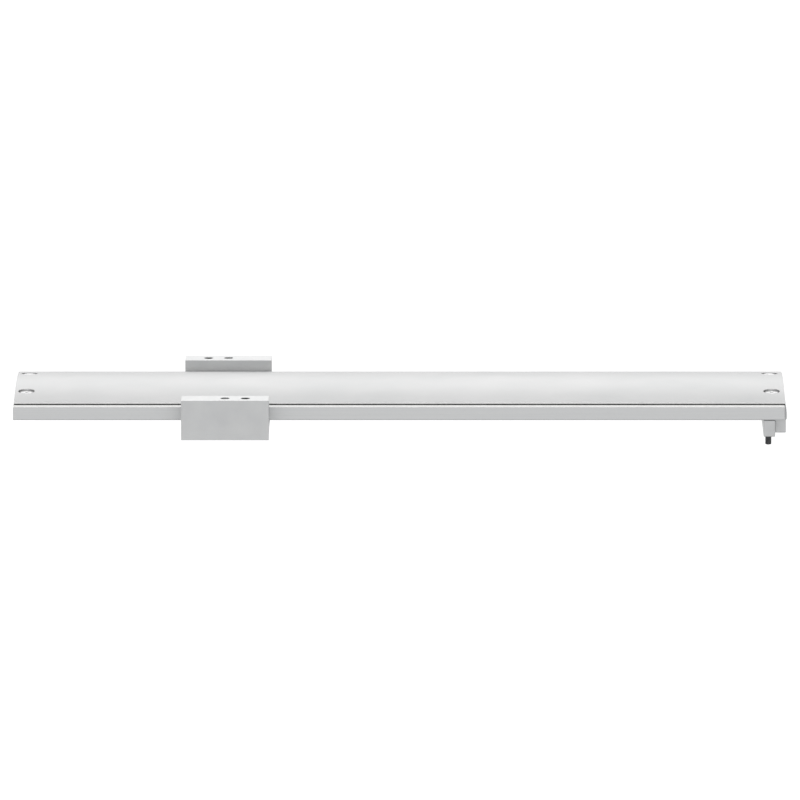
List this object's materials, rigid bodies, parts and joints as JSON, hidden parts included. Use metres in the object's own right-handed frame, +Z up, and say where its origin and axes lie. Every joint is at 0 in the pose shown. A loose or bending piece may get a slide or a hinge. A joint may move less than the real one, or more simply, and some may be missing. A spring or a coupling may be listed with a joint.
{
  "type": "camera slider",
  "caption": "Flat camera slider: domed rail with a belt in its tray, and a saddle carriage that surrounds the rail and slides along it.",
  "frame": {"origin": "centre of the rail's flat underside", "axes": "+X along the rail towards the drive end, +Y to the rear, +Z up out of the domed cover"},
  "size_m": [0.8004, 0.2486, 0.0701],
  "materials": {
    "anodised_rail": "satin clear anodised",
    "cover": "satin clear anodised, fine bead blast",
    "saddle": "satin clear anodised, milled",
    "block": "satin milled",
    "pulley": "hard anodised",
    "guide_steel": "ground",
    "screw": "stainless",
    "dark_steel": "black oxide",
    "bronze": "sintered bronze",
    "belt": "matte",
    "rubber": "matte"
  },
  "bodies": {
    "rail": {"base_rail": "anodised_rail", "dome_cover": "cover", "left_end_plate": "block", "right_end_plate": "block", "right_end_cap": "block", "drive_crossbar": "block", "end_block": "block", "shaft_bush": "bronze", "shaft_bearing": "guide_steel", "idler_carrier": "block", "idler_axle": "dark_steel", "tension_screw": "dark_steel", "drive_belt": "belt", "left_stop_block": "block", "cover_screw_front_left": "screw", "cover_screw_front_right": "screw", "cover_screw_rear_left": "screw", "cover_screw_rear_right": "screw", "left_plate_screw_front": "screw", "right_plate_screw_front": "screw", "left_plate_screw_rear": "screw", "right_plate_screw_rear": "screw", "end_cap_screw_front": "screw", "end_cap_screw_rear": "screw", "crossbar_screw_front": "dark_steel", "crossbar_screw_rear": "dark_steel", "end_block_screw_front": "dark_steel", "end_block_screw_rear": "dark_steel", "guide_rail_front": "guide_steel", "guide_rail_rear": "guide_steel", "guide_screw_front_left": "dark_steel", "guide_screw_front_right": "dark_steel", "guide_screw_rear_left": "dark_steel", "guide_screw_rear_right": "dark_steel", "left_bumper_front": "rubber", "right_bumper_front": "rubber", "left_bumper_rear": "rubber", "right_bumper_rear": "rubber"},
    "carriage": {"saddle_wall_front": "saddle", "saddle_wall_rear": "saddle", "cross_plate": "saddle", "belt_clamp_post": "block", "belt_clamp_jaw": "block", "clamp_screw_left": "dark_steel", "clamp_screw_right": "dark_steel", "saddle_screw_front": "screw", "saddle_screw_rear": "screw", "plate_screw_front_left": "dark_steel", "plate_screw_front_right": "dark_steel", "plate_screw_rear_left": "dark_steel", "plate_screw_rear_right": "dark_steel", "bearing_block_front_left": "guide_steel", "bearing_block_front_right": "guide_steel", "bearing_block_rear_left": "guide_steel", "bearing_block_rear_right": "guide_steel"},
    "drive_rotor": {"drive_shaft": "dark_steel", "drive_pulley": "pulley"},
    "idler_rotor": {"idler_pulley": "pulley"}
  },
  "joints": [
    {"name": "carriage_slide", "type": "slide", "parent": "rail", "child": "carriage", "axis": [1, 0, 0], "range_m": [-0.1545, 0.5065]},
    {"name": "drive_turn", "type": "hinge", "parent": "rail", "child": "drive_rotor", "pos_m": [0.3844, 0, 0], "axis": [0, 0, 1], "continuous": true},
    {"name": "idler_turn", "type": "hinge", "parent": "rail", "child": "idler_rotor", "pos_m": [-0.372, 0, 0], "axis": [0, 0, 1], "continuous": true}
  ],
  "couplings": [
    {"joint": "drive_turn", "follows": "carriage_slide", "rad_per_m": 116.36},
    {"joint": "idler_turn", "follows": "carriage_slide", "rad_per_m": 116.36}
  ]
}
